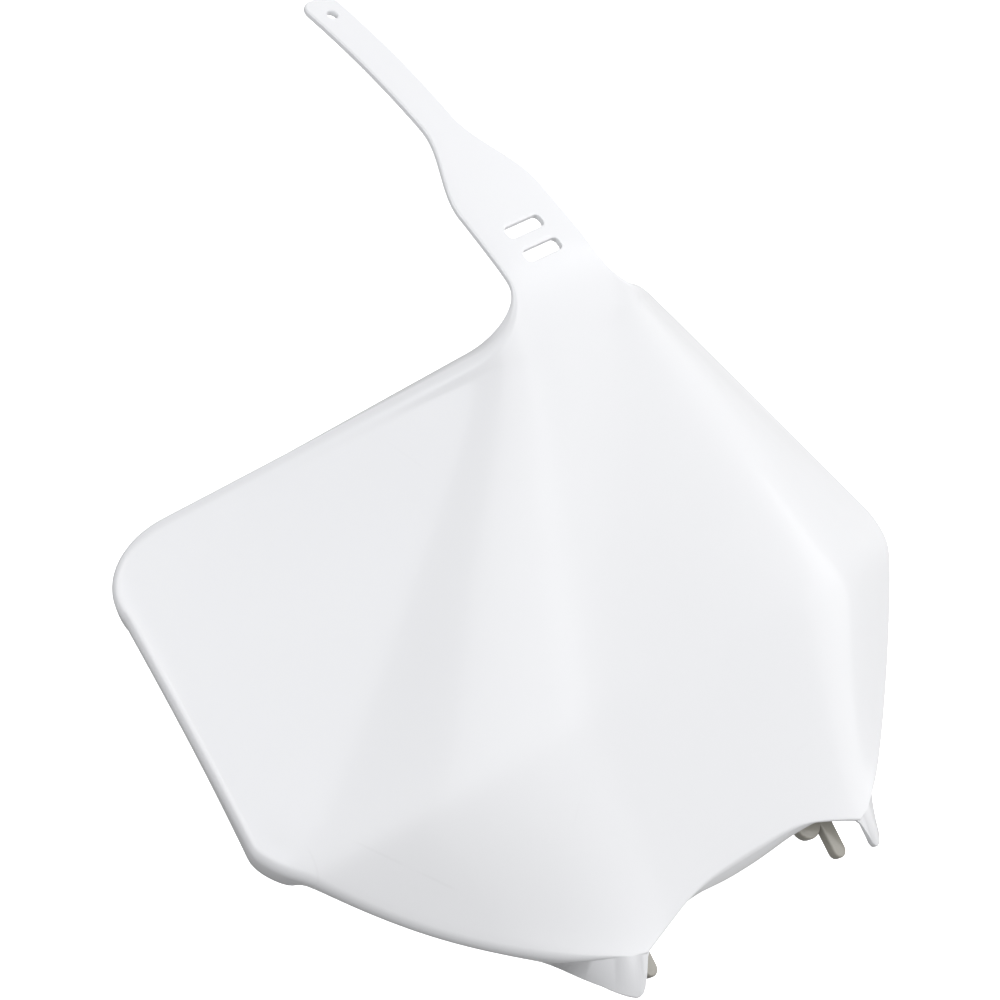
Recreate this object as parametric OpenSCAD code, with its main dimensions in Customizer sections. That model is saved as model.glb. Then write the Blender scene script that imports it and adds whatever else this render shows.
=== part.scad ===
// Racing number board: one moulded plastic shell with a strap that loops round the handlebar.
// The face is measured in its own axes: x across, drop down the face, depth back from the neck base.
// The finished board is tilted into its place on the bike: X across, Y back, Z up.

/* [Face] */
// Depth of the wing corners behind the neck base
wing_depth = 89.5; // [50:1:100]
// Half width of the face at the top corners
top_half_width = 119.8; // [100:1:140]
// Half width of the face at the lower corners
low_half_width = 132; // [110:1:150]
// Drop from the neck base to the straight top edge
top_edge_drop = 6.2; // [5:0.1:9]
// Drop from the neck base to the end of the side edge
side_end_drop = 93; // [80:1:100]
// Drop from the neck base to the middle of the arch
arch_drop = 160; // [145:1:180]
// Rise of the arch middle above its two feet
arch_rise = 9.5; // [4:0.5:14]
// Half width between the feet of the arch
arch_half_width = 48; // [40:1:56]
// Angle between the wing edges and the drop axis
rim_angle = 16.2; // [8:0.2:20]
// Angle of the centre line of the face against the drop axis
face_angle = 12.6; // [8:0.2:16]
// Recline of the drop axis on the bike
recline = 37.2; // [20:0.2:45]

/* [Corners and bends] */
// Radius of the two top corners
top_corner_r = 17; // [8:0.5:24]
// Radius of the two lower corners
low_corner_r = 17; // [8:0.5:20]
// Bow of the lower edges
low_edge_bow = 4; // [0:0.2:6]
// Half width of the flat nose where the wings bend back at the top
nose_half_width = 28; // [24:0.5:34]
// Growth of that half width down to the feet of the arch
panel_growth = 21; // [10:1:30]
// Swell of the front panel at half height
panel_swell = 32; // [10:1:44]
// Softness of the wing bend at the nose
nose_bend_r = 8; // [5:0.5:20]
// Softness added to the wing bend at half height
mid_bend_r = 22; // [10:1:40]

/* [Wall and flange] */
// Wall thickness of the shell and the strap
wall = 2; // [1.6:0.1:2.6]
// Radius of the rolled edge
roll_r = 3.6; // [3:0.1:5]
// Length of the flange behind the rolled edge
flange_l = 6.5; // [2:0.5:8]
// Draft of the flange
flange_draft = 8; // [0:1:15]
// Length of the horn tabs below the feet of the arch
horn_l = 11.5; // [4:0.5:13]
// Half rounding of the cut edges of strap and neck
edge_r = 0.6; // [0.3:0.1:0.8]
// Length of the lip at the middle of the arch
lip_l = 6.5; // [2:0.5:7]
// Half width of the lip
lip_half_width = 29; // [20:1:34]

/* [Neck and strap] */
// Length of neck and strap above the neck base
strap_l = 108; // [90:1:130]
// Width of the strap
strap_w = 11; // [9:0.5:13]
// Width of the neck at the slots
neck_w = 31.5; // [28:0.5:36]
// Distance above the neck base where the neck has narrowed to the strap
strap_start = 61; // [56:1:70]
// Distance above the neck base where the neck begins to narrow
neck_start = 33; // [31:1:36]
// Radius of the sweep from neck to top edge
neck_sweep_r = 19; // [16:0.5:24]
// Angle that the neck leans back
strap_angle = 18; // [10:1:30]
// Radius of the curl of the strap
strap_curl_r = 210; // [180:10:500]
// Corner radius of the strap end
strap_end_r = 3; // [1:0.5:4]
// Radius of the bend at the neck base
neck_bend_r = 5; // [3:0.5:10]

/* [Slots and hole] */
// Width of each strap slot
slot_w = 14.4; // [12.5:0.1:18]
// Height of each strap slot
slot_h = 3.8; // [3:0.1:4.2]
// Corner radius of each strap slot
slot_r = 1.5; // [0.5:0.1:1.8]
// Distance of the upper slot above the neck base
slot_top = 23.5; // [20:0.5:28]
// Distance between the two slots
slot_pitch = 8; // [6:0.5:10]
// Diameter of the hole in the strap end
hole_d = 3.2; // [2.4:0.1:4.5]
// Distance of the hole from the strap end
hole_end = 6; // [5:0.5:9]

/* [Pegs] */
// Distance of each peg from the centre line
peg_x = 42.5; // [34:0.5:44]
// Width of each peg
peg_w = 5; // [3:0.5:6]
// Length of each peg below its tab
peg_l = 9; // [4:0.5:14]
// Depth of the tabs behind the skin
tab_gap = 11; // [6:0.5:13]
// Thickness of tabs and pegs
tab_t = 3; // [2:0.5:4]
// Width of the rounded lobe beside each peg
lobe_w = 9; // [6:0.5:12]

/* [Hidden] */
white = [0.93, 0.94, 0.95];

// Columns in each half, their crowding towards the edge, and steps round the edge
cols = 12;
column_power = 0.85;
edge_steps = 4;
// Where the arch turns down towards its feet, and how softly
arch_turn = 22;
arch_soft = 8;
// Shape of the front panel: swell, lead of its start, and softness added at the feet
swell_power = 1.2;
bend_lead = 2;
foot_bend_r = 6;
// Lower edge: drop of its start, way in from the half width, and softness of that turn
low_corner_reach = 1.3;
low_corner_share = 0.75;
low_in = 10;
low_turn = 3;
foot_out = 5;
foot_up = 1.2;
// Drop at which each stretch of rows begins on the centre line
sweep_start = 14;
top_start = 30;
side_start = 46;
low_start_drop = 96;
foot_start = 108;
foot_end = 2.5;
sweep_power = 1.1;
foot_power = 1.3;
// Widening of the neck from the slots to the sweep
neck_flare = 0.6;
// Lead of the neck rows past the ends of the narrowing
neck_lead = 2;
curl_lead = 6;
// Lean, spread and fold of the horn tabs, how much of a tab stands at the very foot,
// how quickly the edge turns into it, and the roundness of its inner edge
horn_lean = 0.16;
horn_w = 20;
horn_fold = 6;
horn_at_foot = 0.08;
horn_turn = 1.5;
horn_round = 3;
// Fold of the lip, and its rounding beyond the wall
lip_fold = 48;
lip_round = 0.6;
low_drop = side_end_drop + low_corner_r * low_corner_reach;
foot_drop = arch_drop + arch_rise;
foot_x = arch_half_width + foot_out;
cut = 20;

function mix(a, b, t) = a + (b - a) * t;
function clamp01(t) = min(1, max(0, t));
function smooth(t) = let(c = clamp01(t)) c * c * (3 - 2 * c);
function unit(v) = v / norm(v);
// A ramp that is nearly level below c and rises by one per unit above it, with softness s
function ramp(v, c, s) = (sqrt(pow(v - c, 2) + s * s) + v - c) / 2;

// Depth of the centre line: the face leans one way below the neck base and the strap the other
bend_drop = -9;
function centre_raw(d) =
    let(a = tan(face_angle), b = tan(strap_angle), u = d - bend_drop)
    (a + b) / 2 * sqrt(u * u + neck_bend_r * neck_bend_r) + (a - b) / 2 * u
    + pow(max(0, -d - strap_start + curl_lead), 2) / (2 * strap_curl_r);
function centre_depth(d) = centre_raw(d) - centre_raw(0);
// Depth of the wing edges
function rim_depth(d) = wing_depth - tan(rim_angle) * max(d, 0);
// Where the wing bends back from the front panel, and how softly
bend_start = top_edge_drop + bend_lead;
function down(d) = clamp01((d - bend_start) / (foot_drop - bend_start));
function panel_half(d) =
    nose_half_width + panel_growth * down(d) + panel_swell * pow(sin(180 * down(d)), swell_power);
function bend_soft(d) = nose_bend_r + foot_bend_r * down(d) + mid_bend_r * sin(180 * down(d));
function bend_shape(x, b, r) =
    (sqrt(pow(x - b, 2) + r * r) + sqrt(pow(x + b, 2) + r * r)) / 2 - sqrt(b * b + r * r);
// Half width that the wing depth is measured at: the side edge, then the lower edge
side_slope = (low_half_width - top_half_width) / (side_end_drop - top_edge_drop - top_corner_r);
low_slope = (low_half_width - low_in - foot_x) / (foot_drop - low_drop);
function edge_half(d) =
    let(s = top_half_width + side_slope * (d - top_edge_drop - top_corner_r),
        l = low_half_width - low_in - low_slope * (d - low_drop))
    (s + l - sqrt(pow(s - l, 2) + pow(2 * low_turn, 2))) / 2;
// Depth of the front face at any point
function face_depth(x, d) =
    let(b = panel_half(d), r = bend_soft(d))
    centre_depth(d) + (rim_depth(d) - centre_depth(d))
        * bend_shape(x, b, r) / bend_shape(max(edge_half(d), b), b, r);
function face(x, d) = [x, d, face_depth(x, d)];

// Half width of neck and strap above the sweep
strap_half = strap_w / 2;
neck_half = neck_w / 2;
function neck_width(d) =
    mix(neck_half, strap_half, smooth((-d - neck_start) / (strap_start - neck_start)));

// Outline of the right half from the strap end down to the foot of the arch, as [x, drop, row start]
sweep_x = neck_half + neck_flare + neck_sweep_r;
sweep_d = top_edge_drop - neck_sweep_r;
corner_x = top_half_width - top_corner_r;
corner_d = top_edge_drop + top_corner_r;
low_a = [low_half_width, side_end_drop];
low_b = [low_half_width - low_corner_r * low_corner_share, low_drop];
foot = [foot_x, foot_drop - foot_up];
low_chord = foot - low_b;
bow = low_edge_bow * unit([low_chord[1], -low_chord[0]]);
strap_top = -strap_start - neck_lead;
neck_top = -neck_start + neck_lead;
end_rows = [for (a = [0, 30, 60, 90]) let(d = strap_end_r * (1 - cos(a)) - strap_l)
    [strap_half - strap_end_r * (1 - sin(a)), d, d]];
strap_rows = [for (i = [1:6]) let(d = mix(strap_end_r - strap_l, strap_top, i / 6))
    [neck_width(d), d, d]];
neck_rows = [for (i = [1:9]) let(d = mix(strap_top, neck_top, i / 9)) [neck_width(d), d, d]];
slot_rows = [for (i = [1:3]) let(t = i / 3, d = mix(neck_top, sweep_d, t))
    [neck_half + neck_flare * t, d, d]];
sweep_rows = [for (i = [1:7]) let(a = 90 * i / 7)
    [sweep_x - neck_sweep_r * cos(a), sweep_d + neck_sweep_r * sin(a),
        mix(sweep_d, sweep_start, pow(i / 7, sweep_power))]];
top_rows = [for (i = [1:5]) let(t = i / 5)
    [mix(sweep_x, corner_x, t), top_edge_drop, mix(sweep_start, top_start, t)]];
corner_rows = [for (i = [1:6]) let(a = 15 * i)
    [corner_x + top_corner_r * sin(a), corner_d - top_corner_r * cos(a), mix(top_start, side_start, i / 6)]];
side_rows = [for (i = [1:6]) let(t = i / 6)
    [mix(top_half_width, low_half_width, t), mix(corner_d, side_end_drop, t),
        mix(side_start, low_start_drop, t)]];
// The lower corner is a curve whose control point lies where the side line meets the lower edge
low_line = low_chord + 4 * bow;
low_c = let(u = [side_slope, 1], v = low_a - low_b, k = (v[0] * u[1] - v[1] * u[0])
    / (low_line[0] * u[1] - low_line[1] * u[0])) low_b + k * low_line;
low_rows = [for (i = [1:5]) let(t = i / 5)
    concat((1 - t) * (1 - t) * low_a + 2 * t * (1 - t) * low_c + t * t * low_b,
        [mix(low_start_drop, foot_start, t)])];
foot_rows = [for (i = [1:12]) let(t = 1 - pow(1 - i / 12, foot_power))
    concat(mix(low_b, foot, t) + 4 * t * (1 - t) * bow, [mix(foot_start, arch_drop - foot_end, t)])];
last = [arch_half_width, foot_drop];
leg_rows = [for (i = [1:4]) let(t = i / 4)
    concat(mix(foot, last, t), [mix(arch_drop - foot_end, arch_drop, t)])];
rows = concat(end_rows, strap_rows, neck_rows, slot_rows, sweep_rows,
    top_rows, corner_rows, side_rows, low_rows, foot_rows, leg_rows);
n_rows = len(rows);

// Each row runs from the centre line to the outline and bends as the arch does
function arch_ramp(s) = ramp(s * arch_half_width, arch_turn, arch_soft) - ramp(0, arch_turn, arch_soft);
function row_point(i, s) =
    let(e = rows[i], t = arch_ramp(s) / arch_ramp(1))
    [e[0] * s, mix(e[2], e[1], t)];
function col_s(j) = pow(j / cols, column_power);
function signed(p, side) = [p[0] * side, p[1]];
function on_face(q) = face(q[0], q[1]);
// Inward normal of the face at an outline point
step = 0.05;
function face_normal(q) =
    unit([-(face_depth(q[0] + step, q[1]) - face_depth(q[0] - step, q[1])) / (2 * step),
        -(face_depth(q[0], q[1] + step) - face_depth(q[0], q[1] - step)) / (2 * step), 1]);

// Both halves as one grid: columns run from the left edge over the centre line to the right edge
n_cols = 2 * cols + 1;
grid = [for (i = [0:n_rows - 1]) for (k = [-cols:cols])
    signed(row_point(i, col_s(abs(k))), k < 0 ? -1 : 1)];
front = [for (q = grid) on_face(q)];
back = [for (q = grid) on_face(q) + wall * face_normal(q)];
function at(i, k) = i * n_cols + k;

// Closed loop of the outline: down the right side, along the arch, up the left side, over the end
loop = concat([for (i = [0:n_rows - 1]) at(i, n_cols - 1)],
    [for (k = [n_cols - 2:-1:0]) at(n_rows - 1, k)],
    [for (i = [n_rows - 2:-1:0]) at(i, 0)],
    [for (k = [1:n_cols - 2]) at(0, k)]);
n_loop = len(loop);
// Place on the loop, told by which run the point lies on
right_end = n_rows - 1;
left_foot = right_end + n_cols - 1;
left_end = left_foot + n_rows - 1;
function row_of(m) = m <= right_end ? m : m <= left_foot ? n_rows - 1 : m <= left_end ? left_end - m : 0;
function on_arch(m) = m > right_end && m < left_foot;

// Outward direction in the face, square to the outline
function loop_q(m) = grid[loop[(m + n_loop) % n_loop]];
function outward(m) =
    let(q = loop_q(m), n = face_normal(q), t = unit(on_face(loop_q(m + 1)) - on_face(loop_q(m - 1))))
    unit(cross(t, n));
function horn_dir(m) = unit([sign(loop_q(m)[0]) * horn_lean, 1, tan(face_angle)]);
function out_dir(m) = on_arch(m) ? outward(m)
    : unit(mix(outward(m), horn_dir(m), min(1, horn_turn * horn_share(m))));

// How much of the rolled flange is there: none on strap, neck and legs, all of it past the sweep
first_roll = len(end_rows) + len(strap_rows) + len(neck_rows) + len(slot_rows);
function flange_share(m) = on_arch(m) || row_of(m) >= n_rows - len(leg_rows) ? 0
    : smooth((row_of(m) - first_roll) / len(sweep_rows));
// How much of the horn tab is there: a rounded tab on the last rows before the foot
function horn_share(m) = on_arch(m) || loop_q(m)[1] < low_drop ? 0
    : let(u = abs(loop_q(m)[0]) - foot_x)
    u < 0 ? mix(1, horn_at_foot, pow(min(1, -u / foot_out), horn_round)) : smooth(1 - u / horn_w);
function lip_share(m) = on_arch(m) ? 1 - pow(min(1, abs(loop_q(m)[0]) / lip_half_width), 2) : 0;

// Edge profiles as [outward, back] points, from the front skin over the edge to the back skin
function arc_profile(r, a, l) = concat(
    [for (k = [1:edge_steps]) let(b = a * k / edge_steps) [r * sin(b), r * (1 - cos(b))]],
    [[r * sin(a) + l * cos(a), r * (1 - cos(a)) + l * sin(a)]]);
function inner_profile(r, a, l) = concat(
    [[r * sin(a) + l * cos(a) - wall * sin(a), r * (1 - cos(a)) + l * sin(a) + wall * cos(a)]],
    [for (k = [edge_steps:-1:2]) let(b = a * k / edge_steps)
        [(r - wall) * sin(b), wall + (r - wall) * (1 - cos(b))]]);
function plain_profile() = concat(
    [for (k = [1:edge_steps]) let(b = 90 * k / edge_steps) [edge_r * sin(b), edge_r * (1 - cos(b))]],
    [[edge_r, wall / 2]],
    [[edge_r, wall - edge_r]],
    [for (k = [edge_steps:-1:2]) let(b = 90 * (k - 1) / edge_steps)
        [edge_r * sin(b), wall - edge_r * (1 - cos(b))]]);
function flange_profile(r, a, l) = concat(arc_profile(r, a, l), inner_profile(r, a, l));
side_profile = flange_profile(roll_r, 90 - flange_draft, flange_l);
horn_profile = flange_profile(roll_r, horn_fold, horn_l);
lip_profile = flange_profile(wall + lip_round, lip_fold, lip_l);
n_prof = len(side_profile);
function edge_profile(m) =
    let(f = flange_share(m), h = horn_share(m), p = lip_share(m), plain = plain_profile())
    [for (k = [0:n_prof - 1])
        mix(mix(mix(plain[k], side_profile[k], f), horn_profile[k], h), lip_profile[k], p)];
edge_rings = [for (m = [0:n_loop - 1])
    let(q = loop_q(m), c = on_face(q), o = out_dir(m), b = face_normal(q), prof = edge_profile(m))
    for (k = [0:n_prof - 1]) c + prof[k][0] * o + prof[k][1] * b];

n_grid = n_rows * n_cols;
function ring(m, k) = let(w = m % n_loop)
    k < 0 ? loop[w] : k >= n_prof ? n_grid + loop[w] : 2 * n_grid + w * n_prof + k;
// Two triangles for four corners in turn, split the other way on the left half so that both halves match
function two(a, b, c, d, flip) = flip ? [[b, d, a], [b, c, d]] : [[a, c, d], [a, b, c]];
front_faces = [for (i = [0:n_rows - 2]) for (k = [0:n_cols - 2]) each
    two(at(i, k), at(i, k + 1), at(i + 1, k + 1), at(i + 1, k), k < cols)];
back_faces = [for (f = front_faces) [f[2] + n_grid, f[1] + n_grid, f[0] + n_grid]];
function on_left(m) = m >= right_end + cols && m < left_end + cols;
edge_faces = [for (m = [0:n_loop - 1]) for (k = [-1:n_prof - 1]) each
    two(ring(m, k), ring(m, k + 1), ring(m + 1, k + 1), ring(m + 1, k), on_left(m))];

module shell() {
    polyhedron(points = concat(front, back, edge_rings),
        faces = concat(front_faces, back_faces, edge_faces));
}

// Moves a cutter to a place on the centre line, with its axis square to the face
module on_centre(d) {
    n = face_normal([0, d]);
    translate(face(0, d) + wall / 2 * n)
        rotate([-atan2(n[1], n[2]), 0, 0])
            children();
}

module slot() {
    linear_extrude(height = cut, center = true)
        offset(r = slot_r)
            square([slot_w - 2 * slot_r, slot_h - 2 * slot_r], center = true);
}

module strap_hole() {
    cylinder(h = cut, d = hole_d, center = true, $fn = 48);
}

// A rounded tab behind the skin with a lobe and a round-ended peg, on one side of the arch
tab_top = arch_drop - 9;
tab_end = foot_drop - 1;
tab_mid = arch_drop - 4;
tab_depth = face_depth(peg_x, tab_mid) + tab_gap;
lobe_x = peg_x - peg_w / 2 - lobe_w / 2;
tab_x = (lobe_x + peg_x) / 2;
tab_w = lobe_w + peg_w;
bridge_steps = 4;
bridge_w = tab_w / bridge_steps;
function bridge_start(x) = face_depth(x + bridge_w, tab_top + tab_t) + wall / 4;
module tab(side) {
    translate([0, 0, tab_depth])
        linear_extrude(height = tab_t)
            union() {
                translate([side * lobe_x, tab_end - lobe_w / 2])
                    circle(d = lobe_w, $fn = 32);
                translate([side * peg_x, tab_end + peg_l - peg_w / 2])
                    circle(d = peg_w, $fn = 24);
                translate([side * peg_x - peg_w / 2, tab_top])
                    square([peg_w, tab_end + peg_l - peg_w / 2 - tab_top]);
                translate([side * tab_x - tab_w / 2, tab_top])
                    square([tab_w, tab_end - lobe_w / 2 - tab_top]);
            }
    for (i = [0:bridge_steps - 1])
        let(x = tab_x - tab_w / 2 + bridge_w * i)
            translate([side > 0 ? x : -x - bridge_w, tab_top, bridge_start(x)])
                cube([bridge_w, tab_t, tab_depth + tab_t - bridge_start(x)]);
}

// The board's origin: the middle between the two slots, where the strap is fastened
slots_drop = -slot_top + slot_pitch / 2;
slots_middle = face(0, slots_drop) + wall / 2 * face_normal([0, slots_drop]);
module number_board() {
    color(white)
        rotate([-90 - recline, 0, 0])
            translate(-slots_middle)
                difference() {
                    union() {
                        shell();
                        for (side = [-1, 1]) tab(side);
                    }
                    on_centre(-slot_top) slot();
                    on_centre(-slot_top + slot_pitch) slot();
                    on_centre(hole_end - strap_l) strap_hole();
                }
}

number_board();
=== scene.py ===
"""Racing number board: the moulded shell with its strap, the tabs behind the arch, and a plain studio.

The face of the board is measured in its own axes: x across, drop down the face, depth back from the
neck base. The finished board is tilted into its place on the bike: X across, Y back, Z up, with the
origin in the wall midway between the two strap slots.
"""

import math
from types import SimpleNamespace

import bpy
import numpy as np
from mathutils import Matrix, Vector


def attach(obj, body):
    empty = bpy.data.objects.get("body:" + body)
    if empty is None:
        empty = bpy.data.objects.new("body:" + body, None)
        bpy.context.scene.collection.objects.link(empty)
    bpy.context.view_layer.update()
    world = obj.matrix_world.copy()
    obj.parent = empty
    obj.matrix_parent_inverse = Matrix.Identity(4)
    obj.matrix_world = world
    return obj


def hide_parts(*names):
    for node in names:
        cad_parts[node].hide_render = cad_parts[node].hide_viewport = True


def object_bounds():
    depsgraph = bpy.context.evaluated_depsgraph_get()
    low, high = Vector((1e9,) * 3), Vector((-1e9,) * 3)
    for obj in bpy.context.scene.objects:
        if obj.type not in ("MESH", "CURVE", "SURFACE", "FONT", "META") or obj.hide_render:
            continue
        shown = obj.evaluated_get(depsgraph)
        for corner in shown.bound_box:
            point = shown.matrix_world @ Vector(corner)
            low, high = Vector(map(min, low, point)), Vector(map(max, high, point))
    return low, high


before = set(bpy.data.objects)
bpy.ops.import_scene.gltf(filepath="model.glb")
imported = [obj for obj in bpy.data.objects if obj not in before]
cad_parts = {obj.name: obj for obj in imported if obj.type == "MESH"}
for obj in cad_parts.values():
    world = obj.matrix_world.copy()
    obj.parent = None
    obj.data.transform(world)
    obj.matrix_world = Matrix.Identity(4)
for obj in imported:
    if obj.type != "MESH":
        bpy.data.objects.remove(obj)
cad_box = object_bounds()

bl_info = {
    "name": "Racing number board",
    "version": (1, 0, 0),
    "blender": (4, 5, 0),
    "location": "3D View > Sidebar > Board",
    "description": "Builds a moulded racing number board with its strap, tabs and a plain studio",
    "category": "Object",
}

BODY = "root"
NODE = "number_board"
MM = 0.001

# Columns in each half of the face, steps round a rolled edge, and rows in each stretch of the outline
COLUMNS = 36
EDGE_STEPS = 8
RIM_POINTS = 3
ROWS = {
    "end": 10,
    "strap": 24,
    "neck": 30,
    "slot": 12,
    "sweep": 28,
    "top": 20,
    "corner": 18,
    "side": 22,
    "low": 16,
    "foot": 40,
    "leg": 5,
}
# Crowding of the columns towards the edge, and of the rows along sweep and lower edge
COLUMN_POWER = 0.85
SWEEP_POWER = 1.1
FOOT_POWER = 1.3
# Drops at which each stretch of rows begins on the centre line, in millimetres
SWEEP_START = 14.0
TOP_START = 30.0
SIDE_START = 46.0
LOW_START = 96.0
FOOT_START = 108.0
FOOT_END = 2.5
# Step over which slopes are measured, in millimetres, and the angle above which an edge is shaded sharp
SLOPE_STEP = 0.05
SHARP_ANGLE = math.radians(40)
# Points round the strap hole; end angle, steps and outer reach of the rounding that the cutters leave
HOLE_POINTS = 48
CUT_ANGLE = math.radians(72)
CUT_STEPS = 6
CUT_FLARE = 3.0

# Sockets of the mix node: its share, its two colours and its result
MIX_SHARE, MIX_FIRST, MIX_SECOND, MIX_RESULT = 0, 6, 7, 2
# Noise scales of tone and gloss in slow waves, and the band of noise over which the gloss changes
TONE_SCALE = 0.6
GLOSS_SCALE = 1.4
GLOSS_BAND = (0.3, 0.7)
# Turn and stretch of the scratches, and the distances from a cell's edge between which one fades
SCRATCH_TURN = (0.5, 0.35, 0.9)
SCRATCH_STRETCH = (1.0, 0.22, 0.5)
SCRATCH_FADE = (0.004, 0.009)
# Where scratches lie: scale and band of the noise. Then how strongly they change colour and roughness
WORN_SCALE = 34.0
WORN_BAND = (0.66, 0.74)
WORN_COLOUR = 0.14
WORN_ROUGHNESS = 0.35

# Heights and sideways shares between which the room's light changes
ABOVE_HORIZON = (0.0, 0.3)
OVERHEAD = (0.3, 0.9)
ON_THE_RIGHT = (0.2, 0.9)
# The camera's sensor in millimetres, and how far it sees in metres
SENSOR = 36.0
VIEW_END = 100.0


def length(name, description, default):
    """A length property in metres."""
    return bpy.props.FloatProperty(
        name=name, description=description, default=default, subtype="DISTANCE", unit="LENGTH", precision=4
    )


def angle(name, description, degrees):
    """An angle property, given in degrees."""
    return bpy.props.FloatProperty(
        name=name, description=description, default=math.radians(degrees), subtype="ANGLE", unit="ROTATION"
    )


def factor(name, description, default, top=1.0):
    """A plain number from nought to its top."""
    return bpy.props.FloatProperty(
        name=name, description=description, default=default, min=0.0, max=top, subtype="FACTOR", precision=4
    )


def colour(name, description, default):
    """A colour property without alpha."""
    return bpy.props.FloatVectorProperty(
        name=name, description=description, default=default, size=3, min=0.0, max=1.0, subtype="COLOR"
    )


class BoardSizes(bpy.types.PropertyGroup):
    """Sizes of the shell, its edges, neck, strap and tabs"""

    wing_depth: length("Wing depth", "Depth of the wing corners behind the neck base", 0.0895)
    top_half_width: length("Top half width", "Half width of the face at the top corners", 0.1198)
    low_half_width: length("Lower half width", "Half width of the face at the lower corners", 0.132)
    top_edge_drop: length("Top edge drop", "Drop from the neck base to the straight top edge", 0.0062)
    side_end_drop: length("Side end drop", "Drop from the neck base to the end of the side edge", 0.093)
    arch_drop: length("Arch drop", "Drop from the neck base to the middle of the arch", 0.160)
    arch_rise: length("Arch rise", "Rise of the arch middle above its two feet", 0.0095)
    arch_half_width: length("Arch half width", "Half width between the feet of the arch", 0.048)
    arch_turn: length("Arch turn", "Where the arch turns down towards its feet", 0.022)
    arch_soft: length("Arch softness", "Softness of the turn of the arch", 0.008)
    rim_angle: angle("Rim angle", "Angle between the wing edges and the drop axis", 16.2)
    face_angle: angle("Face angle", "Angle of the centre line of the face against the drop axis", 12.6)
    recline: angle("Recline", "Recline of the drop axis on the bike", 37.2)

    top_corner_r: length("Top corner radius", "Radius of the two top corners", 0.017)
    low_corner_r: length("Lower corner radius", "Radius of the two lower corners", 0.017)
    low_corner_reach: factor("Lower corner reach", "Drop of the lower corner in corner radii", 1.3, 2.0)
    low_corner_share: factor("Lower corner inset", "Inset of the lower corner in corner radii", 0.75, 2.0)
    low_in: length("Lower line inset", "Way in from the half width where the lower edge starts", 0.010)
    low_turn: length("Lower turn", "Softness of the turn from side edge to lower edge", 0.003)
    low_edge_bow: length("Lower edge bow", "Bow of the lower edges", 0.004)
    foot_out: length("Foot reach", "Reach of the feet beyond the arch", 0.005)
    foot_up: length("Foot lift", "Lift of the outer end of each foot", 0.0012)
    nose_half_width: length("Nose half width", "Half width of the flat nose at the top", 0.028)
    panel_growth: length("Panel growth", "Growth of that half width down to the feet", 0.021)
    panel_swell: length("Panel swell", "Swell of the front panel at half height", 0.032)
    swell_power: factor("Swell shape", "Power of the curve of the swell", 1.2, 3.0)
    nose_bend_r: length("Nose bend radius", "Softness of the wing bend at the nose", 0.008)
    mid_bend_r: length("Middle bend radius", "Softness added to the wing bend at half height", 0.022)
    foot_bend_r: length("Foot bend radius", "Softness added to the wing bend at the feet", 0.006)
    bend_lead: length("Bend lead", "Drop below the top edge where the front panel starts to widen", 0.002)

    wall: length("Wall", "Wall thickness of the shell and the strap", 0.002)
    roll_r: length("Roll radius", "Radius of the rolled edge", 0.0036)
    flange_l: length("Flange length", "Length of the flange behind the rolled edge", 0.0065)
    flange_draft: angle("Flange draft", "Draft of the flange", 8.0)
    rim_r: length("Rim rounding", "Rounding of the flange's cut edge", 0.0005)
    horn_l: length("Horn length", "Length of the horn tabs below the feet of the arch", 0.0115)
    horn_w: length("Horn spread", "Spread of each horn tab along the edge", 0.020)
    horn_fold: angle("Horn fold", "Fold of the horn tabs", 6.0)
    horn_lean: factor("Horn lean", "Sideways lean of the horn tabs", 0.16)
    horn_at_foot: factor("Horn at the foot", "Share of the horn tab at the very foot", 0.08)
    horn_turn: factor("Horn turn", "How quickly the edge turns into the horn tab", 1.5, 3.0)
    horn_round: factor("Horn rounding", "Roundness of the inner edge of each horn tab", 3.0, 6.0)
    edge_r: length("Cut edge rounding", "Half rounding of the cut edges of strap and neck", 0.0006)
    lip_l: length("Lip length", "Length of the lip at the middle of the arch", 0.0065)
    lip_half_width: length("Lip half width", "Half width of the lip", 0.029)
    lip_fold: angle("Lip fold", "Fold of the lip", 48.0)
    lip_round: length("Lip rounding", "Rounding of the lip's fold beyond the wall", 0.0006)

    strap_l: length("Strap length", "Length of neck and strap above the neck base", 0.108)
    strap_w: length("Strap width", "Width of the strap", 0.011)
    neck_w: length("Neck width", "Width of the neck at the slots", 0.0315)
    neck_flare: length("Neck flare", "Widening of the neck from the slots to the sweep", 0.0006)
    strap_start: length("Strap start", "Distance above the neck base where the neck has narrowed", 0.061)
    neck_start: length("Neck start", "Distance above the neck base where the neck begins to narrow", 0.033)
    neck_lead: length("Neck lead", "Lead of the neck rows past the ends of the narrowing", 0.002)
    neck_sweep_r: length("Neck sweep radius", "Radius of the sweep from neck to top edge", 0.019)
    strap_angle: angle("Strap angle", "Angle that the neck leans back", 18.0)
    strap_curl_r: length("Strap curl radius", "Radius of the curl of the strap", 0.210)
    curl_lead: length("Curl lead", "Lead of the curl before the strap's start", 0.006)
    strap_end_r: length("Strap end radius", "Corner radius of the strap end", 0.003)
    neck_bend_r: length("Neck bend radius", "Radius of the bend at the neck base", 0.005)
    neck_bend_up: length("Neck bend height", "Height of that bend above the neck base", 0.009)

    slot_w: length("Slot width", "Width of each strap slot", 0.0144)
    slot_h: length("Slot height", "Height of each strap slot", 0.0038)
    slot_r: length("Slot corner radius", "Corner radius of each strap slot", 0.0015)
    slot_top: length("Upper slot", "Distance of the upper slot above the neck base", 0.0235)
    slot_pitch: length("Slot pitch", "Distance between the two slots", 0.008)
    slot_edge: length("Slot edge rounding", "Rounding of the slots' and the hole's edges", 0.0004)
    hole_d: length("Hole diameter", "Diameter of the hole in the strap end", 0.0032)
    hole_end: length("Hole distance", "Distance of the hole from the strap end", 0.006)

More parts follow.
